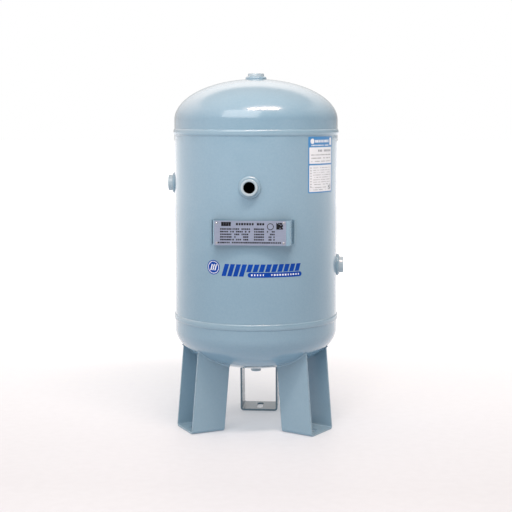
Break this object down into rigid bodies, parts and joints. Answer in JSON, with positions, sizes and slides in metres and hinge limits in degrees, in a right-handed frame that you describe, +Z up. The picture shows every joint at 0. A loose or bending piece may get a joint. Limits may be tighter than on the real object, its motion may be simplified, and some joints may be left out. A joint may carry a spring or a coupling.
{
  "type": "vertical air receiver tank",
  "caption": "Vertical welded air receiver tank with dished heads, threaded ports, a riveted nameplate on a bracket and U-strap legs with slotted feet.",
  "frame": {"origin": "on the tank's vertical axis, at floor level, where the undersides of the three feet lie", "axes": "+Z up along the tank's axis; -Y is the front, with the nameplate and the front port; +X is the side with the info label and the low port"},
  "size_m": [0.486, 0.4706, 0.9755],
  "materials": {
    "tank_enamel": "glossy grey-blue enamel over steel, with light orange peel",
    "bare_steel": "mill finish, lightly oxidised",
    "nameplate_aluminium": "satin anodised sheet, screen printed in dark grey",
    "rivet_aluminium": "plain drawn, slightly worn",
    "label_film": "laminated white film printed in blue",
    "decal_film": "blue self-adhesive film"
  },
  "bodies": {
    "root": {"shell": "tank_enamel", "long_seam_weld": "tank_enamel", "upper_head": "tank_enamel", "lower_head": "tank_enamel", "upper_girth_weld": "tank_enamel", "lower_girth_weld": "tank_enamel", "nameplate_bracket": "tank_enamel", "nameplate_bracket_welds": "tank_enamel", "left_front_leg": "tank_enamel", "right_front_leg": "tank_enamel", "rear_leg": "tank_enamel", "left_front_leg_weld": "tank_enamel", "right_front_leg_weld": "tank_enamel", "rear_leg_weld": "tank_enamel", "top_port": "tank_enamel", "front_port": "tank_enamel", "left_port": "tank_enamel", "right_port": "tank_enamel", "drain_port": "tank_enamel", "top_port_weld": "tank_enamel", "front_port_weld": "tank_enamel", "left_port_weld": "tank_enamel", "right_port_weld": "tank_enamel", "drain_port_weld": "tank_enamel", "upper_backing_ring": "bare_steel", "lower_backing_ring": "bare_steel", "nameplate": "nameplate_aluminium", "nameplate_rivets": "rivet_aluminium", "info_label": "label_film", "front_decal": "decal_film"}
  },
  "joints": []
}
